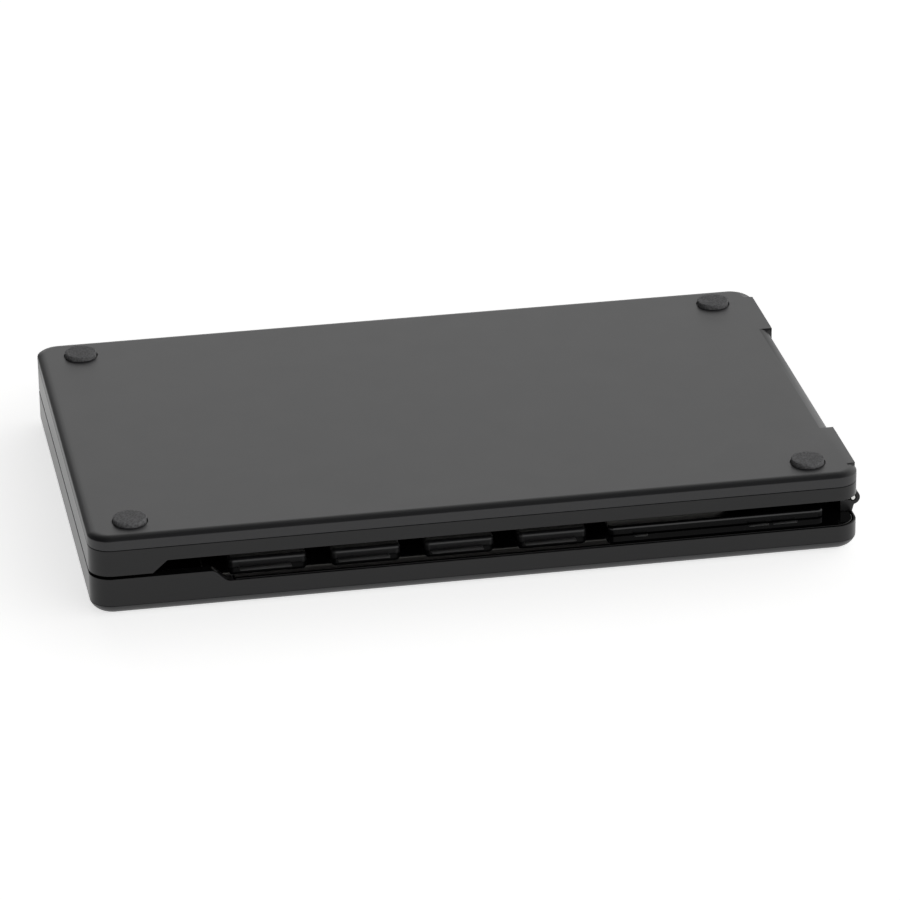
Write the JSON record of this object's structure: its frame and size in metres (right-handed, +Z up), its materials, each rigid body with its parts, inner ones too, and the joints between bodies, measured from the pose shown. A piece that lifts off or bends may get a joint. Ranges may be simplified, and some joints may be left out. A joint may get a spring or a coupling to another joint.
{
  "type": "folding digital gram scale",
  "caption": "Slim folding pocket scale, closed: a keypad and display half hinged to a weighing half with foam foot pads, with a window in the front edge over the keys.",
  "frame": {"origin": "centre of the bounding box in plan, on the flat underside of the control half", "axes": "+X towards the hinge along the length, -Y towards the side with the keys, +Z up, through the foot pads of the closed scale"},
  "size_m": [0.1516, 0.0984, 0.0172],
  "materials": {
    "case_plastic": "satin moulded black ABS",
    "cover_plastic": "satin moulded black ABS",
    "gloss_plate": "glossy black acrylic",
    "key_plastic": "satin black",
    "foot_foam": "open grained foam rubber",
    "clear_lens": "clear acrylic window",
    "lcd": "liquid crystal glass",
    "light_guide": "white light guide",
    "board": "solder mask",
    "chip": "moulded epoxy",
    "white_nylon": "moulded nylon",
    "inner_plastic": "moulded black ABS",
    "steel": "stainless steel",
    "pin_steel": "polished steel",
    "cell_steel": "nickel plated steel",
    "screw_steel": "zinc plated steel",
    "aluminium": "milled",
    "wire_cover": "round sleeved lead"
  },
  "bodies": {
    "control_half": {"backlight_panel": "light_guide", "battery_contact_strip": "steel", "battery_holder": "inner_plastic", "coin_cell_1": "cell_steel", "coin_cell_2": "cell_steel", "control_cover": "cover_plastic", "control_frame": "case_plastic", "control_lead": "wire_cover", "control_screw_1": "screw_steel", "control_screw_2": "screw_steel", "control_screw_3": "screw_steel", "control_screw_4": "screw_steel", "controller_chip": "chip", "display_bezel": "gloss_plate", "display_lens": "clear_lens", "dome_switch_1": "steel", "dome_switch_2": "steel", "dome_switch_3": "steel", "dome_switch_4": "steel", "face_plate": "gloss_plate", "hinge_pin_back": "pin_steel", "hinge_pin_front": "pin_steel", "lcd_glass": "lcd", "lead_socket": "white_nylon", "main_board": "board"},
    "weighing_half": {"base_cover": "cover_plastic", "base_frame": "case_plastic", "load_cell": "aluminium", "load_cell_shim": "steel", "gauge_cover": "white_nylon", "load_cell_screw_1": "screw_steel", "load_cell_screw_2": "screw_steel", "load_cell_lead": "wire_cover", "base_screw_1": "screw_steel", "base_screw_2": "screw_steel", "base_screw_3": "screw_steel", "base_screw_4": "screw_steel", "foot_pad_1": "foot_foam", "foot_pad_2": "foot_foam", "foot_pad_3": "foot_foam", "foot_pad_4": "foot_foam"},
    "platform": {"platform_carrier": "inner_plastic", "weighing_platform": "steel", "platform_screw_1": "screw_steel", "platform_screw_2": "screw_steel"},
    "key_1": {"key_1": "key_plastic"},
    "key_2": {"key_2": "key_plastic"},
    "key_3": {"key_3": "key_plastic"},
    "key_4": {"key_4": "key_plastic"},
    "battery_cap_1": {"battery_cap_1": "inner_plastic"},
    "battery_cap_2": {"battery_cap_2": "inner_plastic"}
  },
  "joints": [
    {"name": "fold_hinge", "type": "hinge", "parent": "control_half", "child": "weighing_half", "pos_m": [0.07436, 0, 0.00803], "axis": [0, 1, 0], "range_deg": [0, 180]},
    {"name": "platform_press", "type": "slide", "parent": "weighing_half", "child": "platform", "axis": [0, 0, 1], "range_m": [0, 0.0005], "stiffness_N_per_m": 10000},
    {"name": "key_1_press", "type": "slide", "parent": "control_half", "child": "key_1", "axis": [0, 0, -1], "range_m": [0, 0.0005], "stiffness_N_per_m": 3000},
    {"name": "key_2_press", "type": "slide", "parent": "control_half", "child": "key_2", "axis": [0, 0, -1], "range_m": [0, 0.0005], "stiffness_N_per_m": 3000},
    {"name": "key_3_press", "type": "slide", "parent": "control_half", "child": "key_3", "axis": [0, 0, -1], "range_m": [0, 0.0005], "stiffness_N_per_m": 3000},
    {"name": "key_4_press", "type": "slide", "parent": "control_half", "child": "key_4", "axis": [0, 0, -1], "range_m": [0, 0.0005], "stiffness_N_per_m": 3000},
    {"name": "battery_cap_1_turn", "type": "hinge", "parent": "control_half", "child": "battery_cap_1", "pos_m": [-0.02379, 0.01485, 0.0006], "axis": [0, 0, 1], "range_deg": [0, 90]},
    {"name": "battery_cap_2_turn", "type": "hinge", "parent": "control_half", "child": "battery_cap_2", "pos_m": [0.00421, 0.01485, 0.0006], "axis": [0, 0, 1], "range_deg": [0, 90]}
  ]
}
